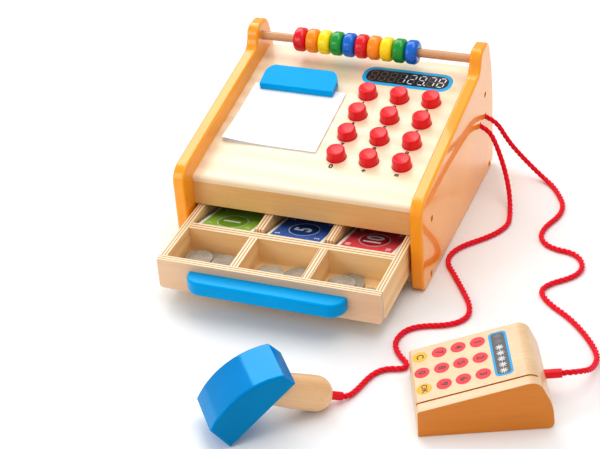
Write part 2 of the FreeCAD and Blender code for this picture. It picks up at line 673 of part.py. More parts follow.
# ---- build --------------------------------------------------------------------------
def main():
    os.makedirs("parts", exist_ok=True)
    screws = [panel_screw(side, y, z) for side in (-1, 1) for y, z in SCREW_PLACES]
    screw_holes = Part.makeCompound(screws)
    save("side_panel_screws", screws)
    save("left_side_panel", side_panel(-1, screw_holes))
    save("right_side_panel", side_panel(1, screw_holes))
    save("deck_panel", deck_panel())
    save("front_panel", upright_board(Y_DECK, FRONT_BOARD_BOTTOM))
    save("back_panel", upright_board(Y_BACK, BASE_BOARD))
    save("bottom_board", bottom_board().cut(screw_holes))
    save("key_board", key_board())
    save("corner_blocks", [block.cut(screw_holes) for block in corner_blocks()])
    save("drawer_runners", drawer_runners())
    save("drawer_stop_block", stop_block())
    save("abacus_rod", abacus_rod())
    save("cord_knots", cord_knots())
    save("key_pads", key_pads())
    for index in range(BEAD_COUNT):
        save("bead_%02d" % (index + 1), bead(index))
    for x, s, name in key_places():
        save("key_" + name, key(x, s))
    save("note_pad", note_pad())
    save("clip_lever", clip_lever())
    save("clip_pin", clip_pin())
    save("clip_bracket", clip_bracket())
    save("clip_spring", clip_spring())
    save("drawer_front", drawer_front())
    save("drawer_left_side", drawer_side(-1))
    save("drawer_right_side", drawer_side(1))
    save("drawer_back", drawer_back())
    save("drawer_bottom", drawer_bottom())
    save("drawer_cross_divider", cross_divider())
    save("drawer_short_dividers", short_dividers())
    save("drawer_handle", drawer_handle())
    save("drawer_handle_screws", handle_screws())
    save("coins", coins())
    save("banknotes", banknotes())
    save("scanner_head", scanner_head())
    save("scanner_handle", scanner_handle())
    save("scanner_ferrule", scanner_ferrule())
    save("terminal_body", terminal_body())
    save("terminal_ferrule", terminal_ferrule())
    save("scanner_cord", scanner_cord())
    save("terminal_cord", terminal_cord())


main()
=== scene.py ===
import bmesh
import bpy
import math
import random
from mathutils import Matrix, Vector


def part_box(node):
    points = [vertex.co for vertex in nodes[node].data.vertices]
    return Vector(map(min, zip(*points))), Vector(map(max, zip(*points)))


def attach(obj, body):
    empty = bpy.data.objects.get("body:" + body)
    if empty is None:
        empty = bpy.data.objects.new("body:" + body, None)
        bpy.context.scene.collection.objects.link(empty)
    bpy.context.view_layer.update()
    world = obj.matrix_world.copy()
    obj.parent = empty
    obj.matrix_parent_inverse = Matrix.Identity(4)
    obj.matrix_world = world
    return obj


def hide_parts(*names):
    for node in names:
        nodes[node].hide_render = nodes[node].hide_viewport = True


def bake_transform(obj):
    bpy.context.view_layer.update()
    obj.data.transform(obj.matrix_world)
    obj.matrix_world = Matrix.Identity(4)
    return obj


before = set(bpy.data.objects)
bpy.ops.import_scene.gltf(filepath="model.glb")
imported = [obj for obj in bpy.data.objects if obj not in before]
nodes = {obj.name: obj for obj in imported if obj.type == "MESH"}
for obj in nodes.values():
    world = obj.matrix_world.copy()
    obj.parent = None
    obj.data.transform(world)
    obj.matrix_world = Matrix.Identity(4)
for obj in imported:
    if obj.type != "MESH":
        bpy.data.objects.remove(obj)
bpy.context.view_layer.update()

MM = 0.001
random.seed(7)

# ---- the toy's own frames, from the CAD boxes and the deck's slope ---------------------
SLOPE = math.radians(9.3)
DECK_FRONT = Vector((0, -103.5, 81.5)) * MM          # front edge of the deck's top face
DECK = Matrix.Translation(DECK_FRONT) @ Matrix.Rotation(SLOPE, 4, "X")
TERMINAL_TURN = math.radians(22.17)
TERMINAL_SLOPE = math.radians(13.8)
TERMINAL_TOP = (Matrix.Translation(Vector((179.9, -318.7, 26.3)) * MM)
                @ Matrix.Rotation(TERMINAL_TURN, 4, "Z") @ Matrix.Rotation(-TERMINAL_SLOPE, 4, "Y"))

KEY_X = 16.7
KEY_S = 54.6
KEY_PITCH_X = 33.0
KEY_PITCH_S = 32.6
KEY_ROWS = (("0", "+", "="), ("7", "8", "9"), ("4", "5", "6"), ("1", "2", "3"))

# ---- camera ---------------------------------------------------------------------------
CAMERA_AZIMUTH = math.radians(23.21)
CAMERA_ELEVATION = math.radians(33.30)
CAMERA_ROLL = math.radians(-4.51)
CAMERA_AIM = Vector((-0.0063, -0.0977, 0.0392))
CAMERA_DISTANCE = 1.5817
CAMERA_LENS = 98.76


def make_camera():
    data = bpy.data.cameras.new("camera")
    data.lens = CAMERA_LENS
    data.sensor_width = 36.0
    data.clip_start = 0.05
    camera = bpy.data.objects.new("camera", data)
    bpy.context.scene.collection.objects.link(camera)
    a, e = CAMERA_AZIMUTH, CAMERA_ELEVATION
    back = Vector((math.sin(a) * math.cos(e), -math.cos(a) * math.cos(e), math.sin(e)))
    right = Vector((math.cos(a), math.sin(a), 0))
    up = back.cross(right)
    turn = Matrix((right, up, back)).transposed().to_4x4() @ Matrix.Rotation(CAMERA_ROLL, 4, "Z")
    camera.matrix_world = Matrix.Translation(CAMERA_AIM + back * CAMERA_DISTANCE) @ turn
    bpy.context.scene.camera = camera


# ---- node helpers ----------------------------------------------------------------------
class Look:
    """A node material under construction: one principled shader and short calls for the rest."""

    def __init__(self, name, roughness=0.5, coat=0.0, coat_roughness=0.1, metallic=0.0, sheen=0.0,
                 specular=0.5):
        self.material = bpy.data.materials.new(name)
        self.material.use_nodes = True
        self.tree = self.material.node_tree
        self.tree.nodes.clear()
        out = self.add("OutputMaterial")
        self.shader = self.add("BsdfPrincipled")
        self.link(self.shader.outputs[0], out.inputs[0])
        for socket, value in (("Roughness", roughness), ("Coat Weight", coat),
                              ("Coat Roughness", coat_roughness), ("Metallic", metallic),
                              ("Sheen Weight", sheen), ("Specular IOR Level", specular)):
            self.shader.inputs[socket].default_value = value
        self.place = self.add("TexCoord").outputs["Object"]

    def add(self, kind):
        return self.tree.nodes.new("ShaderNode" + kind)

    def link(self, source, target):
        self.tree.links.new(source, target)

    def stretched(self, scale, turn=(0, 0, 0), source=None):
        """Object coordinates turned into the grain's own directions and scaled along them."""
        mapping = self.add("Mapping")
        mapping.vector_type = "TEXTURE"
        mapping.inputs["Scale"].default_value = tuple(1 / s for s in scale)
        mapping.inputs["Rotation"].default_value = turn
        self.link(source or self.place, mapping.inputs[0])
        return mapping.outputs[0]

    def noise(self, where, scale=1.0, detail=4.0, rough=0.5, distortion=0.0):
        node = self.add("TexNoise")
        self.link(where, node.inputs["Vector"])
        node.inputs["Scale"].default_value = scale
        node.inputs["Detail"].default_value = detail
        node.inputs["Roughness"].default_value = rough
        node.inputs["Distortion"].default_value = distortion
        return node.outputs["Fac"]

    def waves(self, where, scale=1.0, distortion=2.0, detail=2.0, direction="X"):
        node = self.add("TexWave")
        node.bands_direction = direction
        self.link(where, node.inputs["Vector"])
        node.inputs["Scale"].default_value = scale
        node.inputs["Distortion"].default_value = distortion
        node.inputs["Detail"].default_value = detail
        return node.outputs["Fac"]

    def ramp(self, factor, stops):
        node = self.add("ValToRGB")
        ramp = node.color_ramp
        while len(ramp.elements) < len(stops):
            ramp.elements.new(0.5)
        for element, (at, colour) in zip(ramp.elements, stops):
            element.position = at
            element.color = colour if len(colour) == 4 else (*colour, 1)
        self.link(factor, node.inputs[0])
        return node.outputs[0]

    def mix(self, factor, first, second, blend="MIX"):
        node = self.add("Mix")
        node.data_type = "RGBA"
        node.blend_type = blend
        for value, socket in ((factor, node.inputs[0]), (first, node.inputs[6]), (second, node.inputs[7])):
            if hasattr(value, "links"):
                self.link(value, socket)
            elif isinstance(value, tuple):
                socket.default_value = (*value, 1)
            else:
                socket.default_value = value
        return node.outputs[2]

    def math(self, operation, first, second=0.0, third=0.5):
        node = self.add("Math")
        node.operation = operation
        for value, socket in zip((first, second, third), node.inputs):
            if hasattr(value, "links"):
                self.link(value, socket)
            else:
                socket.default_value = value
        return node.outputs[0]

    def split(self, vector):
        node = self.add("SeparateXYZ")
        self.link(vector, node.inputs[0])
        return node.outputs

    def normal(self):
        return self.add("NewGeometry").outputs["True Normal"]

    def worn_edges(self, width=0.7 * MM):
        """1 along the edges, 0 elsewhere: the mask where a painted highlight lightens the colour."""
        bevel = self.add("Bevel")
        bevel.inputs["Radius"].default_value = width
        dot = self.add("VectorMath")
        dot.operation = "DOT_PRODUCT"
        self.link(bevel.outputs[0], dot.inputs[0])
        self.link(self.add("NewGeometry").outputs["Normal"], dot.inputs[1])
        return self.ramp(dot.outputs["Value"], ((0.90, (1, 1, 1)), (0.985, (0, 0, 0))))

    def colour(self, source):
        self.link(source, self.shader.inputs["Base Color"])

    def rough(self, factor, low, high):
        node = self.add("MapRange")
        node.inputs["To Min"].default_value = low
        node.inputs["To Max"].default_value = high
        self.link(factor, node.inputs[0])
        self.link(node.outputs[0], self.shader.inputs["Roughness"])

    def bump(self, height, strength, distance):
        node = self.add("Bump")
        node.inputs["Strength"].default_value = strength
        node.inputs["Distance"].default_value = distance
        self.link(height, node.inputs["Height"])
        self.link(node.outputs[0], self.shader.inputs["Normal"])
        return node


def shade(colour, factor):
    return tuple(min(1.0, c * factor) for c in colour)


# ---- materials -------------------------------------------------------------------------
def paint(name, colour, roughness=0.32, coat=0.25, edge_highlight_gain=1.25, grain=(1, 1, 1), specular=0.3,
          coat_roughness=0.1, sheen_colour=(1, 1, 1)):
    """Sprayed gloss paint on wood: soft tone changes, faint grain under it, and a painted highlight that
    lightens its edges.
    """
    look = Look(name, coat=coat, coat_roughness=coat_roughness, specular=specular)
    look.shader.inputs["Specular Tint"].default_value = (*sheen_colour, 1)
    broad = look.noise(look.stretched((14, 14, 14)), 1, 3)
    tone = look.ramp(broad, ((0.3, shade(colour, 0.93)), (0.7, shade(colour, 1.05))))
    # The colour is lightened along the edges: a painted highlight.
    tone_with_edge_highlight = look.mix(look.worn_edges(), tone, shade(colour, edge_highlight_gain))
    look.colour(tone_with_edge_highlight)
    fibres = look.noise(look.stretched(tuple(260 * g for g in grain)), 1, 5, 0.6)
    look.rough(look.noise(look.stretched((70, 70, 70)), 1, 4), roughness - 0.06, roughness + 0.08)
    look.bump(fibres, 0.10, 0.0006)
    return look.material


def wood(name, light, dark, along, rings=26.0, coat=0.25, roughness=0.42, turn=(0, 0, 0), flecks=0.35):
    """Varnished wood with growth bands, fine fibres and short dark flecks along one axis."""
    look = Look(name, coat=coat, coat_roughness=0.2)
    scale = [9.0, 9.0, 9.0]
    fine = [620.0, 620.0, 620.0]
    fleck = [900.0, 900.0, 900.0]
    scale[along] = 1.4
    fine[along] = 16.0
    fleck[along] = 110.0
    bands = look.waves(look.stretched(tuple(scale), turn), rings / 9, 5.0, 3.0, "XYZ"[(along + 1) % 3])
    clouds = look.noise(look.stretched(tuple(scale), turn), 1.2, 5, 0.55, 1.2)
    fibres = look.noise(look.stretched(tuple(fine), turn), 1, 5, 0.65)
    specks = look.noise(look.stretched(tuple(fleck), turn), 1, 2, 0.5)
    specks = look.ramp(specks, ((0.62, (0, 0, 0)), (0.70, (1, 1, 1))))
    grain = look.mix(0.45, look.mix(0.5, bands, clouds), fibres)
    colour = look.ramp(grain, ((0.28, dark), (0.72, light)))
    flecked = look.mix(look.math("MULTIPLY", specks, flecks), colour, shade(dark, 0.72))
    look.colour(flecked)
    look.rough(fibres, roughness - 0.08, roughness + 0.12)
    look.bump(look.mix(0.5, fibres, specks), 0.18, 0.0004)
    return look.material


def plywood(name, light, dark, along, thickness, start, pitch):
    """Birch plywood: grain on its faces and alternating layers on its edges.

    thickness is the axis across the board, start the coordinate where its layers begin."""
    look = Look(name, coat=0.15, coat_roughness=0.25)
    scale = [9.0, 9.0, 9.0]
    fine = [520.0, 520.0, 520.0]
    scale[along] = 1.6
    fine[along] = 14.0
    bands = look.waves(look.stretched(tuple(scale)), 2.4, 6.0, 3.0, "XYZ"[(along + 1) % 3])
    clouds = look.noise(look.stretched(tuple(scale)), 1.3, 5, 0.55, 1.0)
    fibres = look.noise(look.stretched(tuple(fine)), 1, 5, 0.65)
    grain = look.mix(0.4, look.mix(0.5, bands, clouds), fibres)
    face = look.ramp(grain, ((0.28, dark), (0.72, light)))
    across = look.split(look.place)[thickness]
    phase = look.math("MULTIPLY", look.math("SUBTRACT", across, start), 2 * math.pi / pitch)
    layer = look.math("MULTIPLY_ADD", look.math("COSINE", phase), 0.5, 0.5)
    lengthways = [700.0, 700.0, 700.0]
    lengthways[along] = 60.0
    short = look.noise(look.stretched(tuple(lengthways)), 1, 3, 0.6)
    wobbly = look.math("ADD", layer, look.math("MULTIPLY", look.math("SUBTRACT", short, 0.5), 0.22))
    layers = look.ramp(wobbly, ((0.08, EDGE_BROWN), (0.46, EDGE_PALE)))
    facing = look.math("ABSOLUTE", look.split(look.normal())[thickness])
    is_face = look.math("GREATER_THAN", facing, 0.6)
    look.colour(look.mix(is_face, layers, face))
    look.rough(fibres, 0.36, 0.58)
    look.bump(look.mix(is_face, wobbly, fibres), 0.16, 0.0004)
    return look.material


def steel(name, colour=(0.45, 0.40, 0.33)):
    look = Look(name, metallic=1.0)
    scratches = look.noise(look.stretched((2500, 400, 400)), 1, 4, 0.7)
    look.colour(look.ramp(scratches, ((0.3, shade(colour, 0.6)), (0.7, shade(colour, 1.3)))))
    look.rough(scratches, 0.28, 0.5)
    look.bump(scratches, 0.12, 0.0002)
    return look.material


def paper(name, colour=(0.93, 0.94, 0.97)):
    look = Look(name, roughness=0.85, sheen=0.1)
    fibres = look.noise(look.stretched((900, 900, 900)), 1, 4, 0.6)
    look.colour(look.ramp(fibres, ((0.3, shade(colour, 0.965)), (0.7, colour))))
    look.rough(fibres, 0.78, 0.92)
    look.bump(fibres, 0.06, 0.0003)
    return look.material


def ink(name, colour, spread=0.12, scale=700.0, roughness=0.5, coat=0.1):
    """Printed ink: slightly uneven over the fibres below it."""
    look = Look(name, coat=coat, coat_roughness=0.3)
    grain = look.noise(look.stretched((scale, scale, scale)), 1, 3, 0.6)
    look.colour(look.ramp(grain, ((0.3, shade(colour, 1 - spread)), (0.7, shade(colour, 1 + spread)))))
    look.rough(grain, roughness - 0.06, roughness + 0.08)
    look.bump(grain, 0.05, 0.0002)
    return look.material


def note_ink(name, colour, pale):
    """Banknote ground: fine interlaced pale lines over the note's colour."""
    look = Look(name, roughness=0.6)
    first = look.waves(look.stretched((330, 330, 330), (0, 0, 0.7)), 1.0, 3.0, 1.0, "X")
    second = look.waves(look.stretched((330, 330, 330), (0, 0, -0.7)), 1.0, 3.0, 1.0, "X")
    lines = look.ramp(look.math("MULTIPLY", first, second), ((0.55, (0, 0, 0)), (0.70, (1, 1, 1))))
    look.colour(look.mix(look.math("MULTIPLY", lines, 0.75), colour, pale))
    look.rough(look.noise(look.stretched((500, 500, 500)), 1, 3), 0.5, 0.68)
    look.bump(lines, 0.04, 0.0002)
    return look.material


def coin_board(name):
    """Pressed grey-beige board with a printed speckle."""
    look = Look(name, coat=0.15, coat_roughness=0.3)
    speck = look.noise(look.stretched((1500, 1500, 1500)), 1, 4, 0.7)
    broad = look.noise(look.stretched((90, 90, 90)), 1, 3)
    base = look.ramp(look.mix(0.4, speck, broad), ((0.32, (0.20, 0.17, 0.13)), (0.60, (0.50, 0.45, 0.37))))
    # The coin's edges are mixed towards a lighter grey-beige: a painted highlight.
    look.colour(look.mix(look.worn_edges(0.3 * MM), base, (0.62, 0.58, 0.50)))
    look.rough(speck, 0.40, 0.62)
    look.bump(speck, 0.25, 0.0003)
    return look.material


def foam(name):
    look = Look(name, roughness=0.9)
    cells = look.noise(look.stretched((1200, 1200, 1200)), 1, 2)
    look.colour(look.ramp(cells, ((0.35, (0.05, 0.05, 0.055)), (0.65, (0.13, 0.13, 0.14)))))
    look.rough(cells, 0.8, 0.95)
    look.bump(cells, 0.5, 0.0006)
    return look.material


def rope_yarn(name):
    """Shiny red yarn with magenta flecks; fine fibres run round each strand."""
    look = Look(name, roughness=0.55, sheen=0.05, coat=0.02, specular=0.25)
    uv = look.add("TexCoord").outputs["UV"]
    fibres = look.waves(look.stretched((2.0, 560.0, 1.0), (0, 0, 0.0), source=uv), 1.0, 0.6, 2.0, "DIAGONAL")
    flecks = look.noise(look.stretched((420, 420, 420)), 1, 2, 0.5)
    red = look.ramp(fibres, ((0.2, (0.74, 0.003, 0.012)), (0.8, (1.0, 0.008, 0.025))))
    magenta = look.ramp(flecks, ((0.56, (0, 0, 0)), (0.64, (1, 1, 1))))
    look.colour(look.mix(look.math("MULTIPLY", magenta, 0.55), red, (0.88, 0.02, 0.20)))
    look.rough(fibres, 0.36, 0.58)
    look.bump(fibres, 0.35, 0.0003)
    return look.material


def scanner_paint(name, rim, face):
    """Blue gloss on the scanner's rim; its two flat cheeks get a darker colour as painted shade, and its
    edges a painted highlight.
    """
    look = Look(name, specular=0.9)
    look.shader.inputs["Specular Tint"].default_value = (*CYAN, 1)
    cheek = Vector((math.sin(math.radians(37.5)), -math.cos(math.radians(37.5)), 0))
    dot = look.add("VectorMath")
    dot.operation = "DOT_PRODUCT"
    look.link(look.normal(), dot.inputs[0])
    dot.inputs[1].default_value = cheek
    # The flat cheeks are found by their normals and given a darker colour: painted shade.
    is_shaded_cheek = look.math("GREATER_THAN", look.math("ABSOLUTE", dot.outputs["Value"]), 0.92)
    tone = look.noise(look.stretched((16, 16, 16)), 1, 3)
    rim_tone = look.ramp(tone, ((0.3, shade(rim, 0.92)), (0.7, shade(rim, 1.06))))
    cheek_shade_tone = look.ramp(tone, ((0.3, shade(face, 0.92)), (0.7, shade(face, 1.06))))
    body = look.mix(is_shaded_cheek, rim_tone, cheek_shade_tone)
    # The edges are mixed towards a lighter blue: a painted highlight.
    look.colour(look.mix(look.math("MULTIPLY", look.worn_edges(), 0.6), body, shade(rim, 1.3)))
    pores = look.noise(look.stretched((420, 420, 420)), 1, 4, 0.6)
    look.rough(pores, 0.06, 0.12)
    look.bump(pores, 0.10, 0.0004)
    return look.material


def terminal_wood(name, light, dark, side):
    """Beech block: fibres along its length on top, stained sides."""
    look = Look(name, coat=0.35, coat_roughness=0.2)
    turned = (0, 0, TERMINAL_TURN)
    fibres = look.noise(look.stretched((16, 520, 520), turned), 1, 5, 0.65)
    flecks = look.noise(look.stretched((150, 1300, 900), turned), 1, 2)
    flecks = look.ramp(flecks, ((0.58, (0, 0, 0)), (0.68, (1, 1, 1))))
    clouds = look.noise(look.stretched((3, 30, 30), turned), 1, 4, 0.5, 1.0)
    top = look.ramp(look.mix(0.45, clouds, fibres), ((0.3, dark), (0.7, light)))
    top = look.mix(look.math("MULTIPLY", flecks, 0.35), top, shade(dark, 0.7))
    stain = look.ramp(look.mix(0.5, clouds, fibres), ((0.3, shade(side, 0.86)), (0.7, shade(side, 1.08))))
    dot = look.add("VectorMath")
    dot.operation = "DOT_PRODUCT"
    look.link(look.normal(), dot.inputs[0])
    dot.inputs[1].default_value = Vector((-math.sin(TERMINAL_TURN), math.cos(TERMINAL_TURN), 0))
    is_side = look.math("GREATER_THAN", look.math("ABSOLUTE", dot.outputs["Value"]), 0.6)
    look.colour(look.mix(is_side, top, stain))
    look.rough(fibres, 0.32, 0.5)
    look.bump(look.mix(0.5, fibres, flecks), 0.14, 0.0004)
    return look.material


BIRCH_LIGHT = (0.90, 0.73, 0.50)
BIRCH_DARK = (0.78, 0.56, 0.33)
HONEY_LIGHT = (0.96, 0.71, 0.39)
HONEY_DARK = (0.84, 0.55, 0.26)
DECK_LIGHT = (0.95, 0.81, 0.60)
DECK_DARK = (0.84, 0.66, 0.44)
ROSE_LIGHT = (0.86, 0.58, 0.38)
ROSE_DARK = (0.74, 0.46, 0.27)
EDGE_PALE = (0.90, 0.72, 0.48)
EDGE_BROWN = (0.42, 0.20, 0.09)
BLUE = (0.0, 0.34, 0.72)
CYAN = (0.02, 0.62, 1.0)
RED = (0.78, 0.006, 0.016)
ORANGE = (1.0, 0.36, 0.004)


def dress(names, material):
    for name in names:
        mesh = nodes[name].data
        mesh.materials.clear()
        mesh.materials.append(material)


def dress_frame():
    """Materials of the CAD pieces that are shown as they are."""
    dress(["left_side_panel", "right_side_panel"],
          paint("orange_gloss", ORANGE, 0.3, 0.9, 1.2, (1, 0.05, 1), 0.3, 0.04))
    dress(["deck_panel"], wood("deck_birch", DECK_LIGHT, DECK_DARK, 0, 14, 0.5, 0.42, flecks=0.12))
    dress(["front_panel"],
          wood("front_birch", (0.86, 0.55, 0.24), (0.70, 0.40, 0.14), 0, 16, 0.2, 0.42, flecks=0.2))
    dress(["back_panel", "key_board", "bottom_board"],
          wood("back_birch", BIRCH_LIGHT, BIRCH_DARK, 0, 18, 0.2, 0.5))
    dress(["corner_blocks", "drawer_runners", "drawer_stop_block"],
          wood("block_beech", BIRCH_LIGHT, HONEY_DARK, 1))
    for name, light, dark, along, thickness, first, pitch in (
            ("drawer_front", ROSE_LIGHT, ROSE_DARK, 0, 1, 2.2, 3.1),
            ("drawer_left_side", HONEY_LIGHT, HONEY_DARK, 1, 0, 2.4, 2.7),
            ("drawer_right_side", HONEY_LIGHT, HONEY_DARK, 1, 0, 2.4, 2.7),
            ("drawer_back", HONEY_LIGHT, HONEY_DARK, 0, 1, 2.6, 2.8),
            ("drawer_cross_divider", HONEY_LIGHT, HONEY_DARK, 0, 1, 2.7, 3.6),
            ("drawer_short_dividers", HONEY_LIGHT, HONEY_DARK, 1, 0, 2.7, 3.0)):
        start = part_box(name)[0][thickness] + (first - pitch / 2) * MM
        dress([name], plywood(name + "_ply", light, dark, along, thickness, start, pitch * MM))
    dress(["drawer_bottom"], wood("drawer_floor", HONEY_LIGHT, HONEY_DARK, 1, 14, 0.15, 0.5))
    dress(["abacus_rod"], wood("rod_beech", (0.72, 0.40, 0.20), (0.55, 0.27, 0.12), 0, 20, 0.4, 0.35))
    dress(["scanner_handle"], wood("handle_beech", (0.88, 0.55, 0.29), (0.74, 0.42, 0.19), 0, 20, 0.6, 0.3,
                                   (0, 0.41, math.radians(37.5))))
    dress(["side_panel_screws"], steel("screw_bronze", (0.30, 0.17, 0.08)))
    dress(["drawer_handle_screws", "clip_pin", "clip_bracket", "clip_spring"],
          steel("plated_steel", (0.6, 0.6, 0.6)))
    dress(["key_pads"], foam("key_foam"))
    dress(["clip_lever"], paint("clip_blue", BLUE, 0.30, 0.0, 1.2, (0.05, 1, 1), 0.5, sheen_colour=CYAN))
    dress(["drawer_handle"], paint("handle_blue", BLUE, 0.30, 0.0, 1.2, (0.05, 1, 1), 0.5, sheen_colour=CYAN))
    # The scanner's second colour is the darker colour of its cheeks: painted shade.
    dress(["scanner_head"], scanner_paint("scanner_blue", (0.0, 0.23, 0.58), (0.0, 0.20, 0.44)))
    dress(["terminal_body"],
          terminal_wood("terminal_beech", (0.84, 0.60, 0.37), (0.70, 0.45, 0.24), (0.70, 0.22, 0.006)))
    dress(["scanner_ferrule", "terminal_ferrule"], paint("sleeve_red", (0.82, 0.006, 0.018), 0.4, 0.1, 1.1))
    dress(["cord_knots"], rope_yarn("knot_red"))
    red = paint("key_red", RED, 0.3, 0.35, 1.1, specular=0.25)
    dress([name for name in nodes if name.startswith("key_") and name not in ("key_pads", "key_board")], red)
    bead_colours = ((0.74, 0.003, 0.012), (0.98, 0.28, 0.005), (1.0, 0.70, 0.0),
                    (0.005, 0.30, 0.035), (0.0, 0.14, 0.60))
    for index, colour in enumerate(bead_colours):
        gloss = paint("bead_gloss_" + str(index), colour, 0.25, 0.7, 1.1, specular=0.25, coat_roughness=0.05)
        dress(["bead_%02d" % (index + 1), "bead_%02d" % (index + 6)], gloss)
    dress(["coins"], coin_board("coin_blank"))


# ---- mesh helpers ----------------------------------------------------------------------
def finished_mesh(work, name):
    """The mesh of a bmesh that is done with."""
    mesh = bpy.data.meshes.new(name)
    work.to_mesh(mesh)
    work.free()
    return mesh


def new_piece(name, mesh, material, body):
    """Object from a mesh in the row frame, with its material and body."""
    piece = bpy.data.objects.new(name, mesh)
    bpy.context.scene.collection.objects.link(piece)
    mesh.materials.clear()
    mesh.materials.append(material)
    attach(piece, body)
    return piece


def rounded_rectangle(x0, y0, x1, y1, radius, steps=10):
    points = []
    for cx, cy, start in ((x1 - radius, y1 - radius, 0), (x0 + radius, y1 - radius, 90),
                          (x0 + radius, y0 + radius, 180), (x1 - radius, y0 + radius, 270)):
        for step in range(steps + 1):
            angle = math.radians(start + 90 * step / steps)
            points.append((cx + radius * math.cos(angle), cy + radius * math.sin(angle)))
    return points


def circle(x, y, radius, steps=40):
    return [(x + radius * math.cos(2 * math.pi * k / steps), y + radius * math.sin(2 * math.pi * k / steps))
            for k in range(steps)]


def add_plate(work, outline, low, high):
    """Adds a flat plate with a small chamfer round its top to a bmesh; units are millimetres."""
    inset = min(0.15, (high - low))
    centre = (sum(p[0] for p in outline) / len(outline), sum(p[1] for p in outline) / len(outline))
    top = []
    middle = []
    bottom = []
    for x, y in outline:
        away = math.hypot(x - centre[0], y - centre[1]) or 1
        k = 1 - inset / away
        top.append(work.verts.new((centre[0] + (x - centre[0]) * k, centre[1] + (y - centre[1]) * k, high)))
        middle.append(work.verts.new((x, y, high - inset * 0.6)))
        bottom.append(work.verts.new((x, y, low)))
    work.faces.new(top)
    work.faces.new(list(reversed(bottom)))
    count = len(outline)
    for k in range(count):
        following = (k + 1) % count
        work.faces.new((middle[k], middle[following], top[following], top[k]))
        work.faces.new((bottom[k], bottom[following], middle[following], middle[k]))


def plates(name, outlines, low, high, matrix):
    """Mesh of plates in millimetres, placed by a matrix in metres."""
    work = bmesh.new()
    for outline in outlines:
        add_plate(work, outline, low, high)
    bmesh.ops.recalc_face_normals(work, faces=work.faces)
    mesh = finished_mesh(work, name)
    mesh.transform(matrix @ Matrix.Scale(MM, 4))
    return mesh


def text_mesh(name, entries, thick, weight=0.0):
    """Mesh of many short texts: (text, x, y, height, turn), in millimetres in one plane.

    weight thickens the strokes, as a share of the height."""
    work = bmesh.new()
    for words, x, y, height, turn in entries:
        curve = bpy.data.curves.new(name + "_text", "FONT")
        curve.body = words
        curve.size = height / 0.72
        curve.align_x = "CENTER"
        curve.align_y = "CENTER"
        curve.extrude = thick / 2
        curve.offset = weight * height
        curve.resolution_u = 4
        holder = bpy.data.objects.new(name + "_text", curve)
        part = bpy.data.meshes.new_from_object(holder)
        part.transform(Matrix.Translation((x, y, 0)) @ Matrix.Rotation(turn, 4, "Z"))
        work.from_mesh(part)
        bpy.data.objects.remove(holder)
        bpy.data.curves.remove(curve)
        bpy.data.meshes.remove(part)
    return finished_mesh(work, name)


def smooth(mesh, angle=40):
    for polygon in mesh.polygons:
        polygon.use_smooth = True
    mesh.set_sharp_from_angle(angle=math.radians(angle))


# ---- prints on the deck ----------------------------------------------------------------
SEGMENTS = {"0": "abcdef", "1": "bc", "2": "abged", "3": "abgcd", "4": "fgbc", "5": "afgcd", "6": "afgedc",
            "7": "abc", "8": "abcdefg", "9": "abcdfg"}


DIGIT_LEAN = 0.10


def segment_outlines(x, y, wide, tall, stroke, which):
    """Seven-segment bars of one digit place with its lower left corner at x, y."""
    half = tall / 2
    bars = {"a": ((0, tall), (wide, tall)), "g": ((0, half), (wide, half)), "d": ((0, 0), (wide, 0)),
            "f": ((0, half), (0, tall)), "b": ((wide, half), (wide, tall)), "e": ((0, 0), (0, half)),
            "c": ((wide, 0), (wide, half))}
    outlines = []
    for letter in which:
        (ax, ay), (bx, by) = bars[letter]
        length = math.hypot(bx - ax, by - ay)
        ux, uy = (bx - ax) / length, (by - ay) / length
        gap = stroke * 0.6
        points = []
        side = stroke / 2
        near, far = gap, length - gap
        for along, across in ((near, 0), (near + side, side), (far - side, side),
                              (far, 0), (far - side, -side), (near + side, -side)):
            px = ax + ux * along - uy * across
            py = ay + uy * along + ux * across
            points.append((x + px + py * DIGIT_LEAN, y + py))
        outlines.append(list(reversed(points)))
    return outlines


DISPLAY = (1.0, 170.5, 95.0, 198.5)


def make_display():
    """Price display printed on the deck: blue surround, black window, eight digit places."""
    x0, s0, x1, s1 = DISPLAY
    surround = plates("display_surround", [rounded_rectangle(x0, s0, x1, s1, 12)], -0.1, 0.18, DECK)
    new_piece("display_surround", surround, ink("display_blue", (0.0, 0.42, 0.80), 0.06),
              "register")
    window = plates("display_window", [rounded_rectangle(x0 + 4, s0 + 4, x1 - 4, s1 - 4, 8.5)], 0, 0.26, DECK)
    black = ink("display_black", (0.012, 0.010, 0.012), 0.2, roughness=0.4)
    new_piece("display_window", window, black, "register")
    places = 8
    wide, tall, pitch = 6.2, 14.0, 10.2
    left = (x0 + x1) / 2 - (places - 1) * pitch / 2 - wide / 2 - 0.6
    low = (s0 + s1) / 2 - tall / 2
    lit = {3: "1", 4: "2", 5: "9", 6: "7", 7: "8"}
    dim_bars = []
    lit_bars = []
    for place in range(places):
        x = left + place * pitch
        shown = SEGMENTS[lit[place]] if place in lit else ""
        hidden = "".join(letter for letter in "abcdefg" if letter not in shown)
        dim_bars += segment_outlines(x, low, wide, tall, 0.9, hidden)
        lit_bars += segment_outlines(x, low, wide, tall, 1.25, shown)
    lit_bars.append(circle(left + 5 * pitch + wide + 2.0, low + 0.2, 0.9, 16))
    new_piece("display_dim_bars", plates("display_dim_bars", dim_bars, 0.2, 0.36, DECK),
              ink("segment_dim", (0.20, 0.165, 0.17)), "register")
    new_piece("display_lit_bars", plates("display_lit_bars", lit_bars, 0.2, 0.40, DECK),
              ink("segment_lit", (0.85, 0.86, 0.88)), "register")


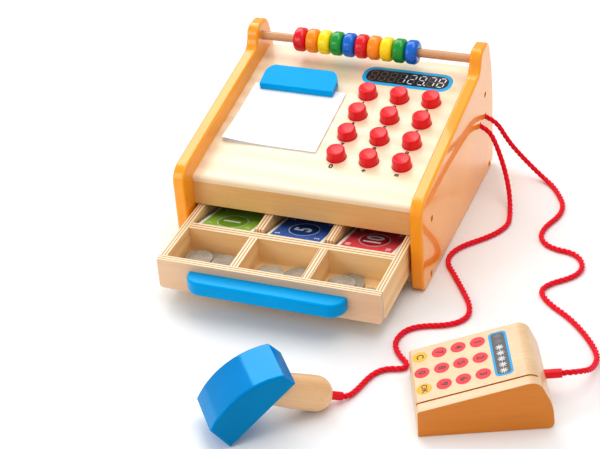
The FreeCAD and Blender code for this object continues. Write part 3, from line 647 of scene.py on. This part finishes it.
def make_key_labels():
    """Small figures printed in front of the keys."""
    entries = []
    for row, names in enumerate(KEY_ROWS):
        for column, words in enumerate(names):
            x = KEY_X + column * KEY_PITCH_X - 1.0
            s = KEY_S + row * KEY_PITCH_S - 14.5
            entries.append((words, x, s, 5.8, 0.0))
    mesh = text_mesh("key_labels", entries, 0.24, 0.055)
    mesh.transform(DECK @ Matrix.Scale(MM, 4))
    new_piece("key_labels", mesh, ink("label_black", (0.02, 0.016, 0.016)), "register")


# ---- note pad --------------------------------------------------------------------------
PAD_STACK = 1.6                   # thickness of the paper stack


def make_note_pad():
    """Stack of paper under the clip; the upper sheets' front left corner curls up."""
    low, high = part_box("note_pad")
    x0, x1 = low.x / MM, high.x / MM
    s0, s1 = 55.3, 150.0
    sheets = 13
    thick = PAD_STACK / sheets
    cells = 26
    work = bmesh.new()
    for sheet in range(sheets):
        turn = random.uniform(-0.005, 0.005) if sheet > 3 else 0.0
        dx = random.uniform(-0.4, 0.4)
        ds = random.uniform(-0.4, 0.4)
        curl = max(0.0, (sheet - 8) / (sheets - 9)) * 3.6
        base = sheet * thick
        grids = []
        for level in (base + 0.012, base + thick - 0.012):
            grid = []
            for j in range(cells + 1):
                line = []
                for i in range(cells + 1):
                    u, v = i / cells, j / cells
                    x = x0 + 0.5 + (x1 - x0 - 1.0) * u + dx
                    s = s0 + 0.5 + (s1 - s0 - 1.0) * v + ds
                    corner = max(0.0, 1 - (u + v) / 0.55)
                    wave = 0.25 * math.sin(5 * u + sheet) * max(0, 0.6 - v) if sheet > 9 else 0.0
                    lift = curl * corner ** 2 + max(0.0, wave) * 0.6
                    shift = s - (s0 + s1) / 2
                    line.append(work.verts.new((x + turn * shift, s, level + lift)))
                grid.append(line)
            grids.append(grid)
        below, above = grids
        for j in range(cells):
            for i in range(cells):
                work.faces.new((above[j][i], above[j][i + 1], above[j + 1][i + 1], above[j + 1][i]))
                work.faces.new((below[j][i], below[j + 1][i], below[j + 1][i + 1], below[j][i + 1]))
        for k in range(cells):
            for a, b in (((0, k), (0, k + 1)), ((cells, k + 1), (cells, k)),
                         ((k + 1, 0), (k, 0)), ((k, cells), (k + 1, cells))):
                work.faces.new((below[a[0]][a[1]], below[b[0]][b[1]], above[b[0]][b[1]], above[a[0]][a[1]]))
    bmesh.ops.recalc_face_normals(work, faces=work.faces)
    mesh = finished_mesh(work, "paper_sheets")
    mesh.transform(DECK @ Matrix.Scale(MM, 4))
    smooth(mesh, 35)
    piece = new_piece("paper_sheets", mesh, paper("pad_paper"), "register")
    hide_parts("note_pad")


# ---- banknotes and coins ---------------------------------------------------------------
NOTE_NEAR = (-131.0, 43.4)        # underside of the stack behind the cross divider
NOTE_STEEP = math.radians(15)
NOTE_STEEP_RUN = 78.0
NOTE_FLAT_RUN = 44.0
NOTE_BEND = 150.0
NOTE_LENGTH = 121.0
NOTE_WIDE = 57.0
NOTE_X = (-99.3, -28.5, 42.3)
NOTE_STACK = 1.6                  # thickness of one stack
NOTE_SHEETS = 7
NOTE_MARGIN = 3.2
NOTE_FAR_OVAL = 92                # distance along the note to the middle of its second oval
NOTE_OVAL = 15                    # half width of both ovals
NOTE_RING = 1.3                   # width of the ovals' white rings
INK_THICK = 0.05


def note_point(x, along, height):
    """Point on a note stack: along runs down the steep part, round the bend and over the floor."""
    knee = Vector((NOTE_NEAR[0] + NOTE_STEEP_RUN * math.cos(NOTE_STEEP),
                   NOTE_NEAR[1] - NOTE_STEEP_RUN * math.sin(NOTE_STEEP)))
    far_slope = math.atan2(knee.y - 22.1, NOTE_FLAT_RUN)
    turn = NOTE_STEEP - far_slope
    reach = NOTE_BEND * math.tan(turn / 2)
    straight = NOTE_STEEP_RUN - reach
    arc = NOTE_BEND * turn
    if along < straight:
        slope = NOTE_STEEP
        at = Vector(NOTE_NEAR) + Vector((math.cos(slope), -math.sin(slope))) * along
    elif along < straight + arc:
        slope = NOTE_STEEP - (along - straight) / NOTE_BEND
        begin = Vector(NOTE_NEAR) + Vector((math.cos(NOTE_STEEP), -math.sin(NOTE_STEEP))) * straight
        centre = begin + Vector((math.sin(NOTE_STEEP), math.cos(NOTE_STEEP))) * NOTE_BEND
        at = centre - Vector((math.sin(slope), math.cos(slope))) * NOTE_BEND
    else:
        slope = far_slope
        at = knee + Vector((math.cos(slope), -math.sin(slope))) * (reach + along - straight - arc)
    lifted = at + Vector((math.sin(slope), math.cos(slope))) * height
    return Vector((x, lifted.x, lifted.y)) * MM


def bend_on_stack(mesh, left, height):
    """Lays a flat print (x across, y along, z up, in millimetres) on a note stack."""
    for vertex in mesh.vertices:
        vertex.co = note_point(left + vertex.co.x, vertex.co.y, height + vertex.co.z)


def strip_mesh(name, x0, y0, x1, y1, low, high, steps=36):
    """Flat strip cut into short lengths so that it can follow the bend."""
    work = bmesh.new()
    rows = []
    for k in range(steps + 1):
        y = y0 + (y1 - y0) * k / steps
        rows.append([work.verts.new(p) for p in ((x0, y, low), (x1, y, low), (x1, y, high), (x0, y, high))])
    for near, far in zip(rows, rows[1:]):
        for k in range(4):
            work.faces.new((near[k], near[(k + 1) % 4], far[(k + 1) % 4], far[k]))
    work.faces.new(list(reversed(rows[0])))
    work.faces.new(rows[-1])
    bmesh.ops.recalc_face_normals(work, faces=work.faces)
    return finished_mesh(work, name)


def ring_mesh(name, x, y, half_x, half_y, wide, low, high, steps=56):
    """Flat oval ring."""
    work = bmesh.new()
    loops = []
    for k in range(steps):
        angle = 2 * math.pi * k / steps
        c, s = math.cos(angle), math.sin(angle)
        inner = (x + (half_x - wide) * c, y + (half_y - wide) * s)
        outer = (x + half_x * c, y + half_y * s)
        loops.append([work.verts.new((*inner, low)), work.verts.new((*outer, low)),
                      work.verts.new((*outer, high)), work.verts.new((*inner, high))])
    for k in range(steps):
        near, far = loops[k], loops[(k + 1) % steps]
        for j in range(4):
            work.faces.new((near[j], far[j], far[(j + 1) % 4], near[(j + 1) % 4]))
    bmesh.ops.recalc_face_normals(work, faces=work.faces)
    return finished_mesh(work, name)


def make_banknotes():
    """Three stacks of play notes with white margins, a coloured ground, an oval and a numeral."""
    white = paper("note_paper", (0.90, 0.90, 0.88))
    kinds = (("1", "green", (0.25, 0.48, 0.02), (0.66, 0.80, 0.36), 21.0),
             ("5", "blue", (0.01, 0.09, 0.42), (0.42, 0.55, 0.85), 29.0),
             ("10", "red", (0.70, 0.015, 0.04), (0.95, 0.55, 0.55), 30.0))
    first = None
    for left, (numeral, tag, colour, pale, near) in zip(NOTE_X, kinds):
        stack = []
        thick = NOTE_STACK / NOTE_SHEETS
        for layer in range(NOTE_SHEETS):
            shift = random.uniform(-0.5, 0.5) if layer else 0.0
            sheet = strip_mesh("sheet", shift, max(0, shift), NOTE_WIDE + shift, NOTE_LENGTH + shift,
                               layer * thick + 0.01, (layer + 1) * thick - 0.02)
            bend_on_stack(sheet, left, 0.0)
            stack.append(sheet)
        work = bmesh.new()
        for sheet in stack:
            work.from_mesh(sheet)
            bpy.data.meshes.remove(sheet)
        mesh = finished_mesh(work, "note_stack_" + tag)
        piece = new_piece("note_stack_" + tag, mesh, white, "drawer")
        first = first or piece
        ground = strip_mesh("note_ground_" + tag, NOTE_MARGIN, NOTE_MARGIN, NOTE_WIDE - NOTE_MARGIN,
                            NOTE_LENGTH - NOTE_MARGIN, 0.0, INK_THICK)
        bend_on_stack(ground, left, NOTE_STACK)
        new_piece("note_ground_" + tag, ground, note_ink("note_ink_" + tag, colour, pale),
                  "drawer")
        whites = bmesh.new()
        middle = NOTE_WIDE / 2
        for part in (ring_mesh("oval", middle, near, NOTE_OVAL, 18, NOTE_RING, 0.0, INK_THICK),
                     ring_mesh("oval_core", middle, near, NOTE_OVAL, 18, NOTE_RING, 0.0, INK_THICK),
                     ring_mesh("oval_far", middle, NOTE_FAR_OVAL, NOTE_OVAL, 21, NOTE_RING, 0.0, INK_THICK)):
            whites.from_mesh(part)
            bpy.data.meshes.remove(part)
        quarter = math.radians(90)
        entries = [(numeral, middle, near, 17, quarter), (numeral, middle, NOTE_FAR_OVAL, 17, quarter)]
        for x in (8.5, NOTE_WIDE - 8.5):
            for y in (10, 52, 68, 112):
                entries.append((numeral, x, y, 5, quarter))
        figures = text_mesh("figures", entries, 0.1, 0.035)
        whites.from_mesh(figures)
        bpy.data.meshes.remove(figures)
        mesh = finished_mesh(whites, "note_figures_" + tag)
        bend_on_stack(mesh, left, 1.66)
        new_piece("note_figures_" + tag, mesh, ink("note_white_" + tag, (0.86, 0.88, 0.86)),
                  "drawer")
        oval = [(middle + x * 13.8, near + y * 16.8) for x, y in circle(0, 0, 1, 48)]
        inner = plates("note_oval_" + tag, [oval], 0.0, 0.03, Matrix.Scale(1000, 4))
        bend_on_stack(inner, left, 1.63)
        new_piece("note_oval_" + tag, inner, ink("note_deep_" + tag, shade(colour, 0.72)),
                  "drawer")
    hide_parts("banknotes")


COINS = ((-86.5, -161, 1, 1), (-58.5, -162, 1, 2), (-73, -158, 0, 5), (-11, -166.5, 1, 2), (13.6, -159, 0, 1),
         (-14.8, -163.5, 0, 5), (58.5, -164, 1, 5), (65, -156.8, 0, 1), (87.5, -172, 0, 2))
COIN_FLOOR = 22.0
COIN_THICK = 3.0


def make_coin_relief():
    """Raised rings, dots and a numeral on each coin's upper face."""
    work = bmesh.new()
    for index, (x, y, storey, value) in enumerate(COINS):
        level = COIN_FLOOR + COIN_THICK * (storey + 1) - 0.4
        parts = [ring_mesh("coin_ring", x, y, 7.6, 7.6, 0.5, level - 0.05, level + 0.3),
                 ring_mesh("coin_ring", x, y, 10.9, 10.9, 0.35, level - 0.05, level + 0.25)]
        for part in parts:
            work.from_mesh(part)
            bpy.data.meshes.remove(part)
        dots = 28
        for k in range(dots):
            angle = 2 * math.pi * k / dots
            at = circle(x + 9.3 * math.cos(angle), y + 9.3 * math.sin(angle), 0.42, 8)
            add_plate(work, at, level - 0.05, level + 0.2)
        turn = index * 0.9
        figure = text_mesh("coin_figure", [(str(value), x, y, 8.0, turn)], 0.6)
        figure.transform(Matrix.Translation((0, 0, level)))
        work.from_mesh(figure)
        bpy.data.meshes.remove(figure)
    mesh = finished_mesh(work, "coin_relief")
    mesh.transform(Matrix.Scale(MM, 4))
    new_piece("coin_relief", mesh, nodes["coins"].data.materials[0], "drawer")


# ---- terminal --------------------------------------------------------------------------
TERMINAL_KEYS = ((8.65, ("C", "0", "OK")), (25.95, ("7", "8", "9")),
                 (42.65, ("4", "5", "6")), (59.75, ("1", "2", "3")))
TERMINAL_W = (71.0, 49.5, 27.8)
TERMINAL_DISC = 6.7               # radius of the printed key discs
ACROSS = -math.pi / 2


def make_terminal_prints():
    """Printed keypad, display and asterisks on the terminal's sloping top."""
    red_discs = []
    yellow_discs = []
    entries = []
    for along, names in TERMINAL_KEYS:
        for w, words in zip(TERMINAL_W, names):
            target = yellow_discs if words in ("C", "OK") else red_discs
            target.append(circle(along, w, TERMINAL_DISC))
            entries.append((words, along, w, 6.4 if len(words) == 1 else 5.2, ACROSS))
    new_piece("terminal_red_discs", plates("terminal_red_discs", red_discs, -0.1, 0.14, TERMINAL_TOP),
              ink("print_red", (0.78, 0.03, 0.05), 0.22, 900), "terminal")
    new_piece("terminal_yellow_discs",
              plates("terminal_yellow_discs", yellow_discs, -0.1, 0.14, TERMINAL_TOP),
              ink("print_yellow", (0.95, 0.45, 0.02), 0.15, 900), "terminal")
    figures = text_mesh("terminal_figures", entries, 0.14, 0.02)
    figures.transform(TERMINAL_TOP @ Matrix.Translation((0, 0, 0.16 * MM)) @ Matrix.Scale(MM, 4))
    new_piece("terminal_figures", figures, ink("print_dark", (0.05, 0.035, 0.035)),
              "terminal")
    outline = rounded_rectangle(69.4, 19, 85.2, 78, 4.5)
    surround = plates("terminal_display", [outline], -0.1, 0.14, TERMINAL_TOP)
    new_piece("terminal_display", surround, ink("terminal_blue", (0.0, 0.36, 0.72), 0.08),
              "terminal")
    window = plates("terminal_window", [rounded_rectangle(71.4, 21, 83.2, 76, 3)], 0.0, 0.2, TERMINAL_TOP)
    new_piece("terminal_window", window, ink("terminal_grey", (0.10, 0.10, 0.105), 0.12),
              "terminal")
    dim_stars = []
    white_stars = []
    for k in range(7):
        stars = dim_stars if k < 2 else white_stars
        centre = (77.3, 72.0 - k * 7.8)
        for arm in range(4):
            angle = math.pi * arm / 4
            c, s = math.cos(angle), math.sin(angle)
            half, thick = 3.4, 0.42
            stars.append([(centre[0] + c * a - s * b, centre[1] + s * a + c * b)
                          for a, b in ((-half, -thick), (half, -thick), (half, thick), (-half, thick))])
    new_piece("terminal_stars", plates("terminal_stars", white_stars, 0.1, 0.28, TERMINAL_TOP),
              ink("star_white", (0.80, 0.80, 0.78)), "terminal")
    new_piece("terminal_dim_stars", plates("terminal_dim_stars", dim_stars, 0.1, 0.28, TERMINAL_TOP),
              ink("star_dim", (0.22, 0.21, 0.21)), "terminal")


# ---- cords -----------------------------------------------------------------------------
CORD_RADIUS = 2.5
STRANDS = 3
STRAND_RADIUS = 1.25
STRAND_OFFSET = 1.42
STRAND_PITCH = 15.5
STRAND_SIDES = 8
ROPE_STEP = 1.1                   # distance between the rings of a strand
SCANNER_ROUTE = (
    (112.5, 74, 72), (132, 74, 72), (146, 68, 48), (159, 54, 22), (167, 35, 2.6),
    (174, -4, 2.6), (122, -57, 2.6), (153, -101, 2.6), (178, -141, 2.6), (168, -165, 2.6),
    (129, -177, 2.6), (121, -202, 2.6), (131, -220, 2.6), (144, -230.5, 2.6),
    (142, -238.5, 2.6), (126, -242, 2.6), (117, -254, 2.6), (112.5, -275, 2.6))
TERMINAL_ROUTE = (
    (112.5, 93, 72), (133, 93, 72.5), (149, 95, 43), (166, 99, 21), (184, 99, 4),
    (201, 84, 2.6), (221, 46, 2.6), (203, 2, 2.6), (217, -22, 2.6), (251, -25, 2.6),
    (261, -57, 2.6), (226, -86, 2.6), (236, -107, 2.6), (269, -130, 2.6),
    (300, -170, 2.6), (302, -201, 10))


def scanner_route_end():
    """The last two points: leaving the scanner's ferrule along its axis."""
    turn = math.radians(37.5)
    root, dome = Vector((41.0, 34.0)), Vector((82.2, 15.9))
    axis = (dome - root).normalized()
    end = dome + axis * (15.6 - 2 + 12.6)
    ends = []
    for ahead in (6.0, 0.0):
        at = end + axis * ahead
        ends.append((19.3 + at.x * math.cos(turn), -356.6 + at.x * math.sin(turn),
                     max(at.y, CORD_RADIUS + 0.1)))
    return tuple(ends)


def terminal_route_end():
    """The last two points: straight out of the terminal's ferrule."""
    w = 41.5
    c, n = math.cos(TERMINAL_TURN), math.sin(TERMINAL_TURN)
    return tuple((179.9 + s * c - w * n, -318.7 + s * n + w * c, 24.5) for s in (143.4, 126.0))


def route_line(name, points):
    """Points read from the route's smooth NURBS spline, in metres."""
    curve = bpy.data.curves.new(name + "_route", "CURVE")
    curve.dimensions = "3D"
    curve.resolution_u = 24
    spline = curve.splines.new("NURBS")
    spline.points.add(len(points) - 1)
    for point, place in zip(spline.points, points):
        point.co = (*(Vector(place) * MM), 1)
    spline.order_u = 3
    spline.use_endpoint_u = True
    holder = bpy.data.objects.new(name + "_route", curve)
    mesh = bpy.data.meshes.new_from_object(holder)
    line = [vertex.co.copy() for vertex in mesh.vertices]
    bpy.data.objects.remove(holder)
    bpy.data.curves.remove(curve)
    bpy.data.meshes.remove(mesh)
    return line


def even_steps(line, step):
    """The same line with points a fixed step apart, each with its distance along."""
    out = [(line[0], 0.0)]
    travelled = 0.0
    wanted = step
    for a, b in zip(line, line[1:]):
        length = (b - a).length
        while length > 0 and wanted <= travelled + length:
            out.append((a.lerp(b, (wanted - travelled) / length), wanted))
            wanted += step
        travelled += length
    out.append((line[-1], travelled))
    return out


def make_rope(name, points, material):
    """Three-strand twisted rope along the route."""
    line = route_line(name, points)
    stations = even_steps(line, ROPE_STEP * MM)
    sides = STRAND_SIDES
    frames = []
    side = Vector((0, 0, 1))
    for index, (at, along) in enumerate(stations):
        before = stations[max(0, index - 1)][0]
        after = stations[min(len(stations) - 1, index + 1)][0]
        ahead = (after - before).normalized()
        side = (side - ahead * side.dot(ahead)).normalized()
        frames.append((at, along, ahead, side, ahead.cross(side)))
    work = bmesh.new()
    uv_layer = work.loops.layers.uv.new("rope_uv")
    for strand in range(STRANDS):
        rings = []
        for at, along, ahead, u, v in frames:
            twist = 2 * math.pi * (along / (STRAND_PITCH * MM) + strand / STRANDS)
            out = u * math.cos(twist) + v * math.sin(twist)
            round_way = ahead.cross(out)
            lean = 2 * math.pi * STRAND_OFFSET / STRAND_PITCH
            strand_ahead = (ahead + round_way * lean).normalized()
            across = strand_ahead.cross(out).normalized()
            centre = at + out * STRAND_OFFSET * MM
            ring = []
            for k in range(sides):
                angle = 2 * math.pi * k / sides
                spoke = (out * math.cos(angle) + across * math.sin(angle)) * STRAND_RADIUS * MM
                ring.append(work.verts.new(centre + spoke))
            rings.append((ring, along))
        for (near, near_along), (far, far_along) in zip(rings, rings[1:]):
            for k in range(sides):
                face = work.faces.new((near[k], near[(k + 1) % sides], far[(k + 1) % sides], far[k]))
                corners = ((k / sides, near_along), ((k + 1) / sides, near_along),
                           ((k + 1) / sides, far_along), (k / sides, far_along))
                for loop, (round_share, along) in zip(face.loops, corners):
                    loop[uv_layer].uv = (round_share, along)
        work.faces.new(list(reversed(rings[0][0])))
        work.faces.new(rings[-1][0])
    bmesh.ops.recalc_face_normals(work, faces=work.faces)
    mesh = finished_mesh(work, name)
    smooth(mesh, 60)
    rope = bpy.data.objects.new(name, mesh)
    bpy.context.scene.collection.objects.link(rope)
    mesh.materials.append(material)
    return rope, line


def make_cords():
    yarn = rope_yarn("rope_red")
    rope, line = make_rope("scanner_rope", SCANNER_ROUTE + scanner_route_end(), yarn)
    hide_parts("scanner_cord")
    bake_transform(rope)
    rope, line = make_rope("terminal_rope", TERMINAL_ROUTE + terminal_route_end(), yarn)
    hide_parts("terminal_cord")
    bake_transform(rope)


# ---- stage -----------------------------------------------------------------------------
def area_light(name, place, aim, size, power, colour=(1, 1, 1)):
    data = bpy.data.lights.new(name, "AREA")
    data.shape = "RECTANGLE"
    data.size, data.size_y = size
    data.energy = power
    data.color = colour
    light = bpy.data.objects.new(name, data)
    bpy.context.scene.collection.objects.link(light)
    place = Vector(place)
    light.location = place
    light.rotation_euler = (Vector(aim) - place).to_track_quat("-Z", "Y").to_euler()


def make_stage():
    """Pale floor and soft studio light, strongest from above and behind."""
    work = bmesh.new()
    bmesh.ops.create_grid(work, x_segments=2, y_segments=2, size=4)
    mesh = finished_mesh(work, "floor")
    floor = bpy.data.objects.new("floor", mesh)
    bpy.context.scene.collection.objects.link(floor)
    look = Look("floor_white", roughness=0.9, specular=0.1)
    speck = look.noise(look.stretched((20, 20, 20)), 1, 2)
    look.colour(look.ramp(speck, ((0.3, (0.90, 0.90, 0.90)), (0.7, (0.92, 0.92, 0.92)))))
    mesh.materials.append(look.material)
    world = bpy.data.worlds.new("studio")
    world.use_nodes = True
    world.node_tree.nodes["Background"].inputs["Color"].default_value = (1, 1, 1, 1)
    world.node_tree.nodes["Background"].inputs["Strength"].default_value = 0.57
    bpy.context.scene.world = world
    area_light("key_light", (-0.9, 0.9, 1.5), (0, -0.05, 0.05), (1.2, 1.2), 12)
    area_light("top_light", (0.3, 0.1, 1.7), (0.05, -0.1, 0), (1.4, 1.0), 9)
    area_light("front_fill", (-1.0, -1.4, 0.8), (0, -0.15, 0.05), (0.9, 0.9), 5.5)
    bpy.context.scene.view_settings.view_transform = "Standard"
    bpy.context.scene.view_settings.look = "Medium High Contrast"


make_camera()
dress_frame()
make_cords()
make_display()
make_key_labels()
make_note_pad()
make_banknotes()
make_coin_relief()
make_terminal_prints()
make_stage()
